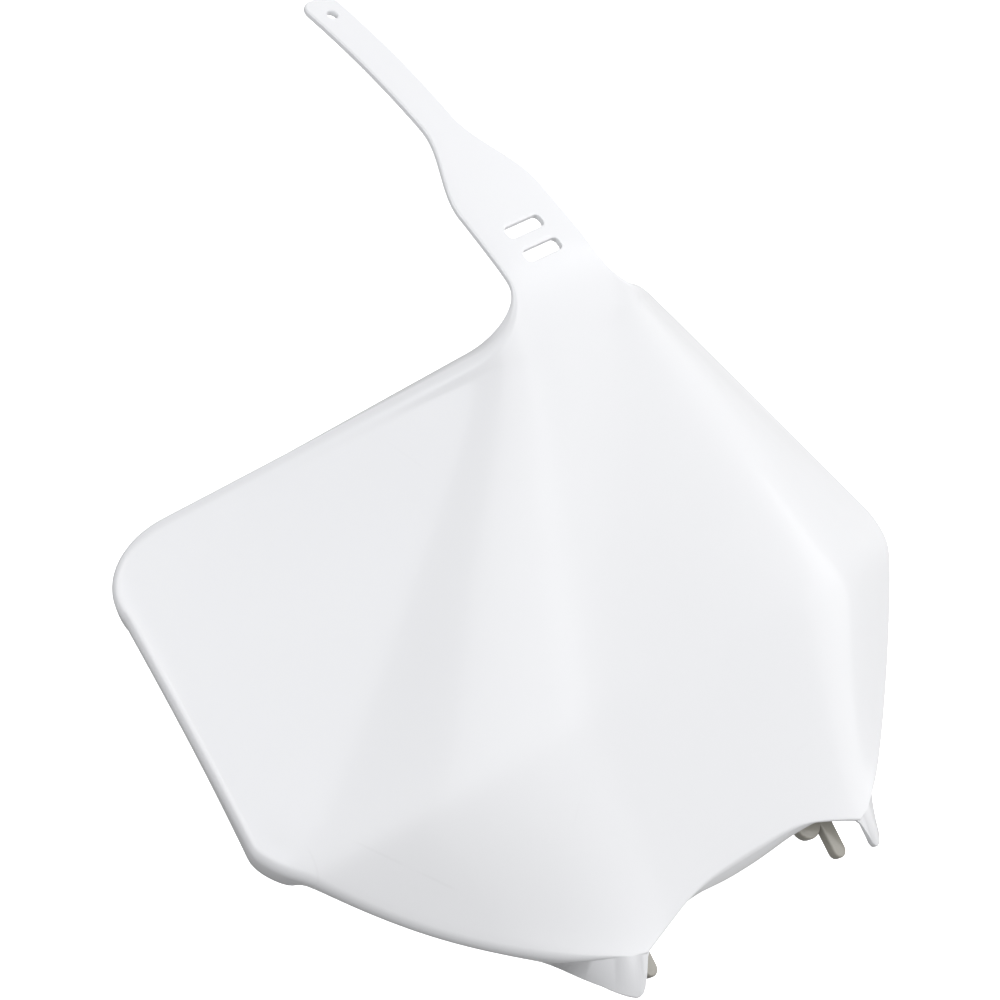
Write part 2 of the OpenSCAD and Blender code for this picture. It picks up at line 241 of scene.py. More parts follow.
    peg_x: length("Peg distance", "Distance of each peg from the centre line", 0.0425)
    peg_w: length("Peg width", "Width of each peg", 0.005)
    peg_l: length("Peg length", "Length of each peg below its tab", 0.009)
    tab_gap: length("Tab gap", "Depth of the tabs behind the skin", 0.011)
    tab_t: length("Tab thickness", "Thickness of tabs and pegs", 0.003)
    tab_r: length("Tab rounding", "Rounding of the edges of tabs and pegs", 0.0006)
    lobe_w: length("Lobe width", "Width of the rounded lobe beside each peg", 0.009)
    lobe_overlap: length("Lobe overlap", "Overlap of each lobe with its peg", 0.0008)
    tab_up: length("Tab top", "Height of the tabs' upper end above the middle of the arch", 0.009)
    tab_low: length("Tab end", "Height of the lobes' lower end above the feet of the arch", 0.001)
    tab_place: length("Tab place", "Height above the arch where the depth of the tabs is taken", 0.004)
    bridge_r: length("Bridge rounding", "Corner radius of the bridge that carries each tab", 0.0008)


class BoardFinish(bpy.types.PropertyGroup):
    """Colours and surface of the moulded plastic, with the painted shade colours of the tabs"""

    tone: colour("Plastic", "Colour of the plastic", (0.845, 0.85, 0.86))
    tone_cool: colour("Cool areas", "Colour of the slightly cooler areas", (0.83, 0.835, 0.85))
    scuff_tone: colour("Scuffs", "Colour of the faint scuffs", (0.70, 0.70, 0.71))
    # Painted shade: the tabs are the same white plastic as the shell. These two dark grey-brown colours
    # stand in for the shade they sit in behind the shell, and noise mixes the second in.
    tab_tone: colour("Tabs", "Colour of the tabs, which sit in the shade of the shell", (0.38, 0.365, 0.32))
    tab_tone_warm: colour("Warm areas", "Colour of the warmer areas of the tabs", (0.34, 0.32, 0.27))
    rough_low: factor("Lowest roughness", "Roughness of the smoothest areas", 0.30)
    rough_high: factor("Highest roughness", "Roughness of the dullest areas", 0.40)
    bending: factor("Index of refraction", "How strongly the plastic bends light", 1.48, 3.0)
    scratch: length("Scratch spacing", "Spacing of the cells whose edges carry the scratches", 0.033)
    grain: length("Grain size", "Size of the fine grain that the mould leaves", 0.0006)
    grain_height: length("Grain height", "Height of the fine grain", 0.000006)
    wave: length("Wave size", "Size of the slow waves in the moulded skin", 0.045)
    wave_height: length("Wave height", "Height of the slow waves", 0.00005)
    coat: factor("Gloss coat", "Weight of the clear gloss over the colour", 0.6)
    coat_roughness: factor("Gloss roughness", "Roughness of the clear gloss", 0.13)


class StageLook(bpy.types.PropertyGroup):
    """Floor, lights and camera of the studio"""

    floor_tone: colour("Floor", "Colour of the plain floor", (0.97, 0.97, 0.97))
    floor_glow: factor("Floor glow", "Glow that keeps the floor evenly pale", 1.0, 4.0)
    floor_gap: length("Floor gap", "Distance of the floor below the board", 0.020)
    floor_reach: length("Floor reach", "Half size of the floor", 8.0)
    room_tone: colour("Room", "Colour of the room's light", (0.99, 0.99, 1.0))
    room_light: factor("Room light", "Strength of the room's light all round", 0.25, 4.0)
    sky_light: factor("Upper light", "Strength that the room gains above the horizon", 0.62, 4.0)
    crown_share: factor("Light overhead", "Share of the upper light that is left straight overhead", 0.66)
    right_light: factor("Right light", "Strength that the room gains on the right", 0.6, 4.0)
    lens: bpy.props.FloatProperty(
        name="Lens", description="Focal length of the camera", default=165.9, subtype="DISTANCE_CAMERA"
    )
    distance: length("Camera distance", "Distance of the camera from the neck base, along its view", 1.26727)
    side_angle: angle("Camera side angle", "Angle at which the camera stands to the side of the face", 42.0)
    roll: angle("Camera roll", "Roll of the camera about its view", 26.9055)
    neck_right: length("Neck to the right", "Distance of the neck base right of the view's middle", 0.018975)
    neck_up: length("Neck up", "Distance of the neck base above the view's middle", 0.055275)


def plain_sizes(group):
    """The sizes as plain numbers, with lengths in millimetres and angles in radians."""
    s = SimpleNamespace()
    for key in group.__annotations__:
        value = getattr(group, key)
        is_length = group.bl_rna.properties[key].unit == "LENGTH"
        setattr(s, key, value / MM if is_length else value)
    s.bend_drop = -s.neck_bend_up
    s.bend_start = s.top_edge_drop + s.bend_lead
    s.low_drop = s.side_end_drop + s.low_corner_r * s.low_corner_reach
    s.foot_drop = s.arch_drop + s.arch_rise
    s.foot_x = s.arch_half_width + s.foot_out
    s.strap_half = s.strap_w / 2
    s.neck_half = s.neck_w / 2
    s.slots_drop = -s.slot_top + s.slot_pitch / 2
    return s


def mix(a, b, t):
    """The value a share t of the way from a to b."""
    return a + (b - a) * t


def smooth(t):
    """An even step: three times the square less twice the cube, held between nought and one."""
    c = np.clip(t, 0.0, 1.0)
    return c * c * (3 - 2 * c)


def unit(v):
    """Each vector in the last axis over its own length."""
    return v / np.linalg.norm(v, axis=-1, keepdims=True)


def ramp(v, c, r):
    """Nearly level below c and rising by one per unit above it: half the sum of distance and root."""
    return (np.hypot(v - c, r) + v - c) / 2


def centre_depth(s, d):
    """Depth of the centre line, nought at the neck base.

    A hyperbola joins the line of the face below the bend to the line of the neck above it, and a
    square term curls the strap back towards its end.
    """

    def raw(drop):
        a, b, u = math.tan(s.face_angle), math.tan(s.strap_angle), drop - s.bend_drop
        curl = np.maximum(0.0, -drop - s.strap_start + s.curl_lead) ** 2 / (2 * s.strap_curl_r)
        return (a + b) / 2 * np.hypot(u, s.neck_bend_r) + (a - b) / 2 * u + curl

    return raw(d) - raw(0.0)


def rim_depth(s, d):
    """Depth of the wing edges: a straight line that comes forward as the drop grows."""
    return s.wing_depth - math.tan(s.rim_angle) * np.maximum(d, 0.0)


def edge_half(s, d):
    """Half width where the wing depth is met: the lower of the side line and the lower edge's line."""
    side_slope = (s.low_half_width - s.top_half_width) / (s.side_end_drop - s.top_edge_drop - s.top_corner_r)
    low_slope = (s.low_half_width - s.low_in - s.foot_x) / (s.foot_drop - s.low_drop)
    side = s.top_half_width + side_slope * (d - s.top_edge_drop - s.top_corner_r)
    low = s.low_half_width - s.low_in - low_slope * (d - s.low_drop)
    return (side + low - np.hypot(side - low, 2 * s.low_turn)) / 2


def bend_shape(x, b, r):
    """Two soft hinges at plus and minus b: the mean of two hyperbolas, less its value in the middle."""
    return (np.hypot(x - b, r) + np.hypot(x + b, r)) / 2 - np.hypot(b, r)


def face_depth(s, x, d):
    """Depth of the front skin at any x and drop.

    The centre line's depth, plus the way from there to the rim, shared out by the two soft hinges,
    whose place and softness change with the drop.
    """
    down = np.clip((d - s.bend_start) / (s.foot_drop - s.bend_start), 0.0, 1.0)
    swell = np.maximum(np.sin(math.pi * down), 0.0)
    half = s.nose_half_width + s.panel_growth * down + s.panel_swell * swell**s.swell_power
    soft = s.nose_bend_r + s.foot_bend_r * down + s.mid_bend_r * swell
    middle = centre_depth(s, d)
    reach = bend_shape(np.maximum(edge_half(s, d), half), half, soft)
    return middle + (rim_depth(s, d) - middle) * bend_shape(x, half, soft) / reach


def on_face(s, q):
    """Points of the front skin at the pairs (x, drop) in q."""
    return np.stack([q[..., 0], q[..., 1], face_depth(s, q[..., 0], q[..., 1])], axis=-1)


def inward(s, q):
    """Unit normals that point back into the board, from the slopes of the depth."""
    x, d, h = q[..., 0], q[..., 1], SLOPE_STEP
    slope_x = (face_depth(s, x + h, d) - face_depth(s, x - h, d)) / (2 * h)
    slope_d = (face_depth(s, x, d + h) - face_depth(s, x, d - h)) / (2 * h)
    return unit(np.stack([-slope_x, -slope_d, np.ones_like(x)], axis=-1))


def neck_width(s, d):
    """Half width of neck and strap: an even step from the neck's to the strap's."""
    t = (-d - s.neck_start) / (s.strap_start - s.neck_start)
    return mix(s.neck_half, s.strap_half, smooth(t))


def shares(name):
    """Equal shares of a stretch of the outline, up to one."""
    return np.arange(1, ROWS[name] + 1) / ROWS[name]


def outline(s):
    """The right half's outline from the strap end to the foot of the arch.

    Each row is (x, drop, drop of the row on the centre line). The stretches are a rounded end, the
    strap, the narrowing neck, the slots, a quarter circle, the top edge, a quarter circle, the side
    edge, a curve with one control point, the bowed lower edge, and the short leg of the arch.
    """
    sweep_x = s.neck_half + s.neck_flare + s.neck_sweep_r
    sweep_d = s.top_edge_drop - s.neck_sweep_r
    corner_x, corner_d = s.top_half_width - s.top_corner_r, s.top_edge_drop + s.top_corner_r
    strap_top, neck_top = -s.strap_start - s.neck_lead, -s.neck_start + s.neck_lead

    a = np.linspace(0, math.pi / 2, ROWS["end"])
    d = s.strap_end_r * (1 - np.cos(a)) - s.strap_l
    parts = [np.stack([s.strap_half - s.strap_end_r * (1 - np.sin(a)), d, d], -1)]
    for name, top, low in (("strap", s.strap_end_r - s.strap_l, strap_top), ("neck", strap_top, neck_top)):
        d = mix(top, low, shares(name))
        parts.append(np.stack([neck_width(s, d), d, d], -1))
    t = shares("slot")
    d = mix(neck_top, sweep_d, t)
    parts.append(np.stack([s.neck_half + s.neck_flare * t, d, d], -1))

    t = shares("sweep")
    a = t * math.pi / 2
    x, d = sweep_x - s.neck_sweep_r * np.cos(a), sweep_d + s.neck_sweep_r * np.sin(a)
    parts.append(np.stack([x, d, mix(sweep_d, SWEEP_START, t**SWEEP_POWER)], -1))
    t = shares("top")
    d = np.full_like(t, s.top_edge_drop)
    parts.append(np.stack([mix(sweep_x, corner_x, t), d, mix(SWEEP_START, TOP_START, t)], -1))
    t = shares("corner")
    a = t * math.pi / 2
    x, d = corner_x + s.top_corner_r * np.sin(a), corner_d - s.top_corner_r * np.cos(a)
    parts.append(np.stack([x, d, mix(TOP_START, SIDE_START, t)], -1))
    t = shares("side")
    x, d = mix(s.top_half_width, s.low_half_width, t), mix(corner_d, s.side_end_drop, t)
    parts.append(np.stack([x, d, mix(SIDE_START, LOW_START, t)], -1))

    start = np.array([s.low_half_width, s.side_end_drop])
    end = np.array([s.low_half_width - s.low_corner_r * s.low_corner_share, s.low_drop])
    foot = np.array([s.foot_x, s.foot_drop - s.foot_up])
    chord = foot - end
    bow = s.low_edge_bow * unit(np.array([chord[1], -chord[0]]))
    line = chord + 4 * bow
    side_slope = (s.low_half_width - s.top_half_width) / (s.side_end_drop - s.top_edge_drop - s.top_corner_r)
    v = start - end
    k = (v[0] - v[1] * side_slope) / (line[0] - line[1] * side_slope)
    control = end + k * line
    t = shares("low")[:, None]
    curve = (1 - t) ** 2 * start + 2 * t * (1 - t) * control + t * t * end
    parts.append(np.hstack([curve, mix(LOW_START, FOOT_START, t)]))
    t = 1 - (1 - shares("foot")[:, None]) ** FOOT_POWER
    curve = mix(end, foot, t) + 4 * t * (1 - t) * bow
    parts.append(np.hstack([curve, mix(FOOT_START, s.arch_drop - FOOT_END, t)]))
    t = shares("leg")[:, None]
    curve = mix(foot, np.array([s.arch_half_width, s.foot_drop]), t)
    parts.append(np.hstack([curve, mix(s.arch_drop - FOOT_END, s.arch_drop, t)]))
    return np.vstack(parts)


def face_grid(s, rows):
    """The face as a grid of (x, drop), in which each row bends towards the outline as the arch does."""

    def arch_ramp(v):
        return ramp(v * s.arch_half_width, s.arch_turn, s.arch_soft) - ramp(0.0, s.arch_turn, s.arch_soft)

    k = np.arange(-COLUMNS, COLUMNS + 1)
    v = (np.abs(k) / COLUMNS) ** COLUMN_POWER
    t = arch_ramp(v) / arch_ramp(1.0)
    x = rows[:, :1] * v * np.sign(k)
    return np.stack([x, mix(rows[:, 2:], rows[:, 1:2], t)], axis=-1)


def flange_profile(s, r, fold, straight):
    """Section of a folded edge as (outward, back): arc, straight, rounded cut edge, and back inside."""
    b = fold * np.arange(1, EDGE_STEPS + 1) / EDGE_STEPS
    out = np.array([math.sin(fold), 1 - math.cos(fold)]) * r
    along = np.array([math.cos(fold), math.sin(fold)])
    across = np.array([-math.sin(fold), math.cos(fold)])
    outer = np.stack([r * np.sin(b), r * (1 - np.cos(b))], -1)
    inner = np.stack([(r - s.wall) * np.sin(b), s.wall + (r - s.wall) * (1 - np.cos(b))], -1)[::-1]
    c = math.pi / 2 * np.linspace(0, 1, RIM_POINTS)[:, None]
    tip = out + straight * along
    first = tip - s.rim_r * (1 - np.sin(c)) * along + s.rim_r * (1 - np.cos(c)) * across
    second = tip + (s.wall - s.rim_r * (1 - np.sin(c))) * across - s.rim_r * (1 - np.cos(c)) * along
    return np.vstack([outer, first, second, inner])


def plain_profile(s):
    """Section of a cut edge as (outward, back): two small quarter rounds with a flat between them."""
    b = math.pi / 2 * np.arange(1, EDGE_STEPS + 1) / EDGE_STEPS
    first = np.stack([s.edge_r * np.sin(b), s.edge_r * (1 - np.cos(b))], -1)
    second = np.stack([s.edge_r * np.sin(b), s.wall - s.edge_r * (1 - np.cos(b))], -1)[::-1]
    t = np.arange(1, 2 * RIM_POINTS + 1) / (2 * RIM_POINTS + 1)
    flat = np.stack([np.full_like(t, s.edge_r), mix(s.edge_r, s.wall - s.edge_r, t)], -1)
    return np.vstack([first, flat, second])


def to_world(s, p):
    """Face axes to the board's own place, in metres: less the slots' middle, then turned back about X."""
    q = np.array([0.0, s.slots_drop])
    p = p - (on_face(s, q) + s.wall / 2 * inward(s, q))
    turn = -math.pi / 2 - s.recline
    c, n = math.cos(turn), math.sin(turn)
    return np.stack([p[..., 0], p[..., 1] * c - p[..., 2] * n, p[..., 1] * n + p[..., 2] * c], -1) * MM


def quad_strip(first, second, closed):
    """Quads between two rows of point numbers of one length, in the order first, first, second, second."""
    if closed:
        return np.stack([first, np.roll(first, -1), np.roll(second, -1), second], -1)
    return np.stack([first[:-1], first[1:], second[1:], second[:-1]], -1)


def shell_mesh(s):
    """Points and quads of the shell: front skin, back skin, and the folded edge round both.

    The back skin is the front skin moved in by the wall. Along the closed outline, four sections are
    mixed: cut edge, rolled flange, horn tab and lip, and each is laid out along the outward direction
    and the inward normal at its place.
    """
    rows = outline(s)
    grid = face_grid(s, rows)
    n_rows, n_cols = grid.shape[:2]
    front = on_face(s, grid)
    back = front + s.wall * inward(s, grid)

    number = np.arange(n_rows * n_cols).reshape(n_rows, n_cols)
    row = np.repeat(np.arange(n_rows)[:, None], n_cols, 1)
    right, arch = (slice(None), -1), (-1, slice(-2, None, -1))
    left, end = (slice(-2, None, -1), 0), (0, slice(1, -1))
    loop = np.concatenate([number[c] for c in (right, arch, left, end)])
    loop_row = np.concatenate([row[c] for c in (right, arch, left, end)])
    place = np.arange(len(loop))
    right_end, left_foot = n_rows - 1, n_rows + n_cols - 2
    on_arch = (place > right_end) & (place < left_foot)

    q = grid.reshape(-1, 2)[loop]
    c = front.reshape(-1, 3)[loop]
    normal = inward(s, q)
    tangent = unit(np.roll(c, -1, 0) - np.roll(c, 1, 0))
    outward = unit(np.cross(tangent, normal))

    first_roll = sum(ROWS[k] for k in ("end", "strap", "neck", "slot"))
    on_leg = loop_row >= n_rows - ROWS["leg"]
    flange = np.where(on_arch | on_leg, 0.0, smooth((loop_row - first_roll) / ROWS["sweep"]))
    u = np.abs(q[:, 0]) - s.foot_x
    leg = np.clip(-u / s.foot_out, 0.0, 1.0)
    horn = np.where(u < 0, mix(1.0, s.horn_at_foot, leg**s.horn_round), smooth(1 - u / s.horn_w))
    horn = np.where(on_arch | (q[:, 1] < s.low_drop), 0.0, horn)
    lip = np.where(on_arch, 1 - np.minimum(1.0, np.abs(q[:, 0]) / s.lip_half_width) ** 2, 0.0)

    level = np.ones(len(q))
    down = np.stack([np.sign(q[:, 0]) * s.horn_lean, level, level * math.tan(s.face_angle)], -1)
    turn = np.minimum(1.0, s.horn_turn * horn)[:, None]
    outward = np.where(on_arch[:, None], outward, unit(mix(outward, unit(down), turn)))

    section = plain_profile(s)[None]
    for share, profile in (
        (flange, flange_profile(s, s.roll_r, math.pi / 2 - s.flange_draft, s.flange_l)),
        (horn, flange_profile(s, s.roll_r, s.horn_fold, s.horn_l)),
        (lip, flange_profile(s, s.wall + s.lip_round, s.lip_fold, s.lip_l)),
    ):
        section = mix(section, profile[None], share[:, None, None])
    edge = c[:, None] + section[..., :1] * outward[:, None] + section[..., 1:] * normal[:, None]

    points = np.vstack([front.reshape(-1, 3), back.reshape(-1, 3), edge.reshape(-1, 3)])
    skin = [quad_strip(number[i], number[i + 1], False)[:, ::-1] for i in range(n_rows - 1)]
    skin = np.vstack(skin)
    rings = 2 * number.size + np.arange(edge.shape[0] * edge.shape[1]).reshape(edge.shape[:2])
    rings = np.hstack([loop[:, None], rings, loop[:, None] + number.size])
    rim = [quad_strip(rings[:, j], rings[:, j + 1], True) for j in range(rings.shape[1] - 1)]
    quads = np.vstack([skin, skin[:, ::-1] + number.size, *rim])
    return points, quads


def plate_mesh(shape, low, high, r, steps=5):
    """Points and faces of a plate with rounded edges between the levels low and high.

    The closed outline is drawn in by the radius less its sine, while the level moves by the radius
    less its cosine, so that each edge is a quarter round. The two ends are closed with flat faces.
    """
    ahead, behind = np.roll(shape, -1, 0), np.roll(shape, 1, 0)
    t = unit(ahead - behind)
    side = np.stack([t[:, 1], -t[:, 0]], -1)
    b = np.linspace(0, math.pi / 2, steps)
    inset = np.concatenate([r * (1 - np.sin(b)), r * (1 - np.sin(b))[::-1]])
    rise = r * (1 - np.cos(b))[:, None]
    n = len(shape)
    low = np.broadcast_to(low, n)
    level = np.concatenate([low + rise, (high - rise)[::-1] + np.zeros(n)])
    flat = shape[None] - inset[:, None, None] * side[None]
    points = np.concatenate([flat, level[:, :, None]], -1)
    number = np.arange(len(level) * n).reshape(len(level), n)
    quads = [quad_strip(number[j], number[j + 1], True) for j in range(len(level) - 1)]
    faces = np.vstack(quads).tolist() + [number[0][::-1].tolist(), number[-1].tolist()]
    return points.reshape(-1, 3), faces


def rounded_end(x, half, top, end, steps=16, cuts=6):
    """Outline of a bar with one half-round end: a straight top and a half circle, running round once."""
    a = np.linspace(0, math.pi, steps)
    arc = np.stack([x + half * np.cos(a), end - half + half * np.sin(a)], -1)
    t = np.linspace(0, 1, cuts)[1:, None]
    left = mix(arc[-1], np.array([x - half, top]), t)
    across = mix(left[-1], np.array([x + half, top]), t)
    right = mix(across[-1], arc[0], t)[:-1]
    return np.vstack([arc, left, across, right])


def rounded_box(half_x, half_y, r, steps=8):
    """Outline of a rectangle with quarter circles of radius r at its corners."""
    a = np.linspace(0, math.pi / 2, steps)
    corner = np.stack([np.cos(a), np.sin(a)], -1) * r
    turn = np.array([[0.0, 1.0], [-1.0, 0.0]])
    parts = []
    for side_x, side_y in ((1, 1), (-1, 1), (-1, -1), (1, -1)):
        parts.append(np.array([side_x * (half_x - r), side_y * (half_y - r)]) + corner)
        corner = corner @ turn
    return np.vstack(parts)


def cutter_mesh(s, shape, drop):
    """A cutter through the wall at one drop on the centre line, flared at both skins to round the edges."""
    ahead, behind = np.roll(shape, -1, 0), np.roll(shape, 1, 0)
    t = unit(ahead - behind)
    side = np.stack([t[:, 1], -t[:, 0]], -1)
    b = np.linspace(0, CUT_ANGLE, CUT_STEPS)
    flare = s.slot_edge * (1 - np.cos(b))
    height = s.wall / 2 - s.slot_edge + s.slot_edge * np.sin(b)
    flare = np.concatenate([[0.0], flare, flare[-1:] + CUT_FLARE * s.slot_edge])
    height = np.concatenate([[0.0], height, height[-1:] + s.slot_edge])
    flare = np.concatenate([flare[::-1], flare[1:]])
    height = np.concatenate([-height[::-1], height[1:]])
    flat = shape[None] + flare[:, None, None] * side[None]
    q = np.array([0.0, drop])
    n = inward(s, q)
    centre = on_face(s, q) + s.wall / 2 * n
    down = np.array([0.0, n[2], -n[1]])
    across = np.array([1.0, 0.0, 0.0])
    points = centre + flat[..., :1] * across + flat[..., 1:] * down + height[:, None, None] * n
    count = len(shape)
    number = np.arange(len(height) * count).reshape(len(height), count)
    faces = np.vstack([quad_strip(number[j], number[j + 1], True) for j in range(len(height) - 1)]).tolist()
    return points.reshape(-1, 3), faces + [number[0][::-1].tolist(), number[-1].tolist()]


def new_object(name, points, faces):
    """An object at the origin with its place in its mesh, shaded smooth."""
    mesh = bpy.data.meshes.new(name)
    mesh.from_pydata(np.asarray(points).tolist(), [], np.asarray(faces, dtype=object).tolist())
    mesh.validate()
    mesh.shade_smooth()
    mesh.set_sharp_from_angle(angle=SHARP_ANGLE)
    obj = bpy.data.objects.new(name, mesh)
    bpy.context.scene.collection.objects.link(obj)
    return obj


def join_meshes(parts):
    """Several point and face lists as one, with the later faces counted on."""
    points, faces, first = [], [], 0
    for p, f in parts:
        points.append(p)
        faces += [[first + i for i in face] for face in f]
        first += len(p)
    return np.vstack(points), faces


def cut_away(obj, cutters):
    """Cuts the cutters out of the object, keeps the result as its mesh and removes the cutters."""
    for cutter in cutters:
        bool_mod = obj.modifiers.new(cutter.name, "BOOLEAN")
        bool_mod.operation = "DIFFERENCE"
        bool_mod.solver = "MANIFOLD"
        bool_mod.object = cutter
    view = bpy.context.evaluated_depsgraph_get()
    mesh = bpy.data.meshes.new_from_object(obj.evaluated_get(view))
    obj.modifiers.clear()
    spent, obj.data = obj.data, mesh
    bpy.data.meshes.remove(spent)
    mesh.name = obj.name
    mesh.shade_smooth()
    mesh.set_sharp_from_angle(angle=SHARP_ANGLE)
    for cutter in cutters:
        bpy.data.objects.remove(cutter)


def add_node(tree, kind, place, **values):
    """A node of one kind, with its settings or the values of its inputs."""
    node = tree.nodes.new(kind)
    node.location = place
    for key, value in values.items():
        name = key.replace("_", " ").title()
        if name in node.inputs:
            node.inputs[name].default_value = value
        else:
            setattr(node, key, value)
    return node


def spread(tree, place, source, low, high, first, last):
    """A smooth change from first to last while the source goes from low to high."""
    node = add_node(tree, "ShaderNodeMapRange", place, interpolation_type="SMOOTHSTEP")
    for key, value in (("From Min", low), ("From Max", high), ("To Min", first), ("To Max", last)):
        node.inputs[key].default_value = value
    tree.links.new(source, node.inputs["Value"])
    return node.outputs["Result"]


def noise(tree, place, source, scale, detail, roughness):
    """The grey value of a noise texture."""
    node = add_node(tree, "ShaderNodeTexNoise", place, scale=scale, detail=detail, roughness=roughness)
    tree.links.new(source, node.inputs["Vector"])
    return node.outputs["Fac"]


def blend(tree, place, share, first, second):
    """A colour that goes from first to second; each is a colour or another node's output."""
    node = add_node(tree, "ShaderNodeMix", place, data_type="RGBA")
    tree.links.new(share, node.inputs[MIX_SHARE])
    for socket, value in ((node.inputs[MIX_FIRST], first), (node.inputs[MIX_SECOND], second)):
        if isinstance(value, bpy.types.NodeSocket):
            tree.links.new(value, socket)
        else:
            socket.default_value = (*value, 1.0)
    return node.outputs[MIX_RESULT]


def moulded_plastic(name, look, tone, tone_cool):
    """Moulded plastic: slow changes of tone and gloss, fine grain, slow waves and rare thin scratches."""
    material = bpy.data.materials.new(name)
    material.use_nodes = True
    tree = material.node_tree
    tree.nodes.clear()
    link = tree.links.new
    out = add_node(tree, "ShaderNodeOutputMaterial", (900, 0))
    shader = add_node(tree, "ShaderNodeBsdfPrincipled", (600, 0))
    shader.inputs["IOR"].default_value = look.bending
    shader.inputs["Coat Weight"].default_value = look.coat
    shader.inputs["Coat Roughness"].default_value = look.coat_roughness
    link(shader.outputs["BSDF"], out.inputs["Surface"])
    place = add_node(tree, "ShaderNodeTexCoord", (-1300, 0)).outputs["Object"]

    cloud = noise(tree, (-900, 500), place, TONE_SCALE / look.wave, detail=3.0, roughness=0.5)
    clouded = blend(tree, (-300, 500), cloud, tone, tone_cool)

    turn = add_node(tree, "ShaderNodeMapping", (-1100, 200))
    turn.inputs["Rotation"].default_value = SCRATCH_TURN
    turn.inputs["Scale"].default_value = SCRATCH_STRETCH
    link(place, turn.inputs["Vector"])
    cells = add_node(tree, "ShaderNodeTexVoronoi", (-900, 300), feature="DISTANCE_TO_EDGE")
    cells.inputs["Scale"].default_value = 1 / look.scratch
    link(turn.outputs["Vector"], cells.inputs["Vector"])
    thin = spread(tree, (-700, 300), cells.outputs["Distance"], *SCRATCH_FADE, 1.0, 0.0)
    areas = noise(tree, (-900, 100), place, WORN_SCALE, detail=1.0, roughness=0.4)
    rare = spread(tree, (-700, 100), areas, *WORN_BAND, 0.0, WORN_COLOUR)
    worn = add_node(tree, "ShaderNodeMath", (-500, 200), operation="MULTIPLY")
    link(thin, worn.inputs[0])
    link(rare, worn.inputs[1])
    scratched = blend(tree, (-80, 450), worn.outputs["Value"], clouded, look.scuff_tone)
    link(scratched, shader.inputs["Base Color"])

    dull = noise(tree, (-900, -100), place, GLOSS_SCALE / look.wave, detail=5.0, roughness=0.55)
    rough = spread(tree, (-500, -100), dull, *GLOSS_BAND, look.rough_low, look.rough_high)
    rougher = add_node(tree, "ShaderNodeMath", (-200, -100), operation="MULTIPLY_ADD")
    rougher.inputs[1].default_value = WORN_ROUGHNESS
    link(worn.outputs["Value"], rougher.inputs[0])
    link(rough, rougher.inputs[2])
    link(rougher.outputs["Value"], shader.inputs["Roughness"])

    waves = noise(tree, (-900, -400), place, 1 / look.wave, detail=1.0, roughness=0.4)
    slow = add_node(tree, "ShaderNodeBump", (-100, -400))
    slow.inputs["Distance"].default_value = look.wave_height
    link(waves, slow.inputs["Height"])
    grains = noise(tree, (-900, -700), place, 1 / look.grain, detail=2.0, roughness=0.5)
    fine = add_node(tree, "ShaderNodeBump", (200, -500))
    fine.inputs["Distance"].default_value = look.grain_height
    link(grains, fine.inputs["Height"])
    link(slow.outputs["Normal"], fine.inputs["Normal"])
    link(fine.outputs["Normal"], shader.inputs["Normal"])
    return material


def place_on_frame(obj, material):
    """Gives a piece its plastic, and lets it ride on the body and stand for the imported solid."""
    obj.data.materials.clear()
    obj.data.materials.append(material)
    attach(obj, BODY)
    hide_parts(NODE)


class BOARD_OT_shell(bpy.types.Operator):
    """Builds the curved shell with its rolled edge, horns, lip, neck, slots and strap"""

    bl_idname = "board.shell"
    bl_label = "Build shell"

    def execute(self, context):
        s = plain_sizes(context.scene.board_sizes)
        points, quads = shell_mesh(s)
        shell = new_object("board_shell", to_world(s, points), quads)
        slot = rounded_box(s.slot_w / 2, s.slot_h / 2, s.slot_r)
        a = np.linspace(0, 2 * math.pi, HOLE_POINTS, endpoint=False)
        hole = np.stack([np.cos(a), np.sin(a)], -1) * s.hole_d / 2
        places = (
            ("upper_slot", slot, -s.slot_top),
            ("lower_slot", slot, -s.slot_top + s.slot_pitch),
            ("strap_hole", hole, s.hole_end - s.strap_l),
        )
        cutters = []
        for name, shape, drop in places:
            p, f = cutter_mesh(s, shape, drop)
            cutters.append(new_object(name, to_world(s, p), f))
        cut_away(shell, cutters)
        look = context.scene.board_finish
        place_on_frame(shell, moulded_plastic("moulded_white_plastic", look, look.tone, look.tone_cool))
        return {"FINISHED"}


class BOARD_OT_tabs(bpy.types.Operator):
    """Builds the two tabs with their lobes and round-ended pegs behind the arch"""

    bl_idname = "board.tabs"
    bl_label = "Build tabs"

    def execute(self, context):
        s = plain_sizes(context.scene.board_sizes)
        top, end = s.arch_drop - s.tab_up, s.foot_drop - s.tab_low
        depth = float(face_depth(s, s.peg_x, s.arch_drop - s.tab_place)) + s.tab_gap
        lobe_x = s.peg_x - s.peg_w / 2 - s.lobe_w / 2
        parts = []
        for side in (-1, 1):
            for x, half, low in (
                (lobe_x + s.lobe_overlap / 2, (s.lobe_w + s.lobe_overlap) / 2, end),
                (s.peg_x, s.peg_w / 2, end + s.peg_l),
            ):
                shape = rounded_end(side * x, half, top, low)
                parts.append(plate_mesh(shape, depth, depth + s.tab_t, s.tab_r))
            bridge = rounded_box((s.lobe_w + s.peg_w) / 2, s.tab_t / 2, s.bridge_r)
            bridge = bridge + np.array([side * (lobe_x + s.peg_x) / 2, top + s.tab_t / 2])
            skin = face_depth(s, bridge[:, 0], bridge[:, 1]) + s.wall / 2
            parts.append(plate_mesh(bridge, skin, depth + s.tab_t, s.tab_r))
        points, faces = join_meshes(parts)
        tabs = new_object("board_tabs", to_world(s, points), faces)
        look = context.scene.board_finish
        # The tabs get the painted shade colours in place of the white of the shell.
        place_on_frame(tabs, moulded_plastic("painted_shade_tab_plastic", look, look.tab_tone, look.tab_tone_warm))
        return {"FINISHED"}


